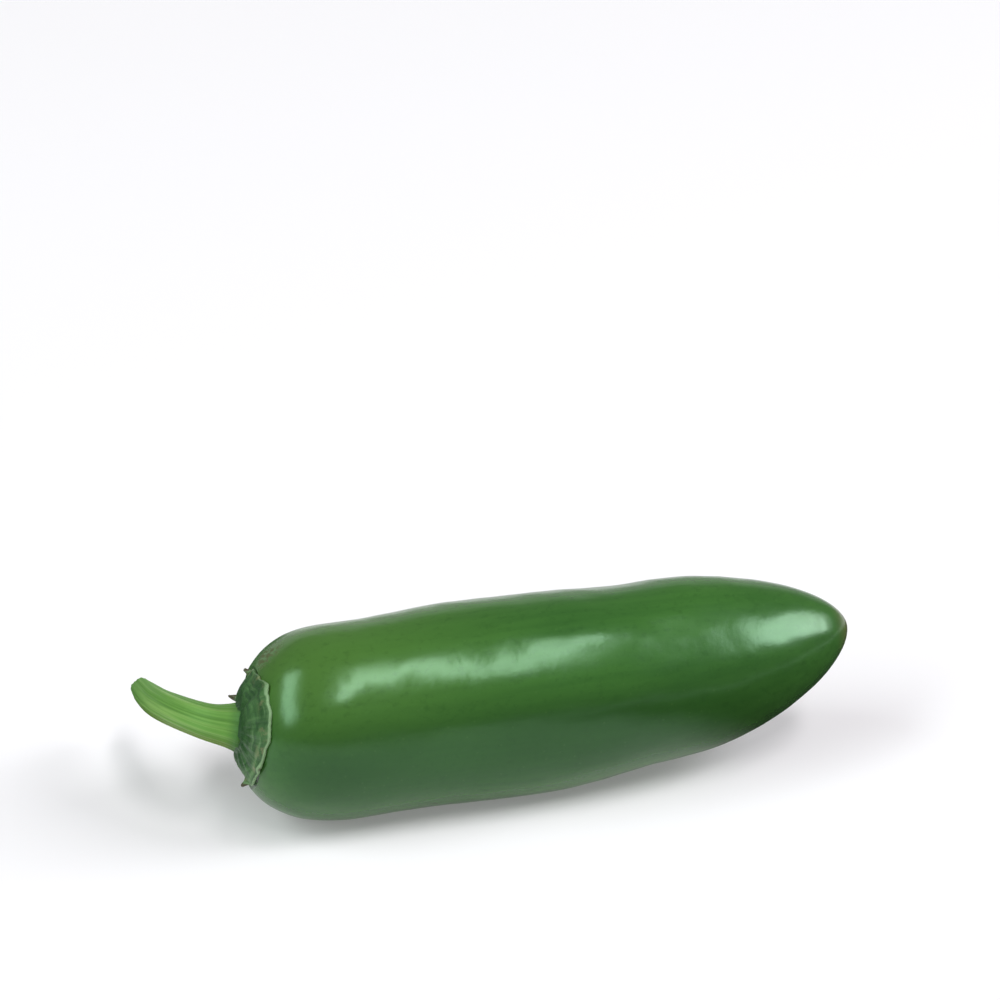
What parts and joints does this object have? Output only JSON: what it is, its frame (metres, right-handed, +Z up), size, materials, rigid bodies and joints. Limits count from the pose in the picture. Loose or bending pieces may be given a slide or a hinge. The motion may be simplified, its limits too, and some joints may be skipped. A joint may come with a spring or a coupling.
{
  "type": "chilli pepper",
  "caption": "Fresh green jalapeno-type chilli pepper lying on its side, with its calyx and a curved stem.",
  "frame": {"origin": "on the surface the pepper lies on, under the middle of its overall box", "axes": "+X along the pod from the stem end to the tip, +Z up, -Y towards the side that faces the camera"},
  "size_m": [0.096, 0.0368, 0.0262],
  "materials": {
    "pod_skin": "waxy gloss",
    "calyx_green": "satin",
    "stem_green": "satin"
  },
  "bodies": {
    "root": {"pod": "pod_skin", "calyx": "calyx_green", "stem": "stem_green"}
  },
  "joints": []
}
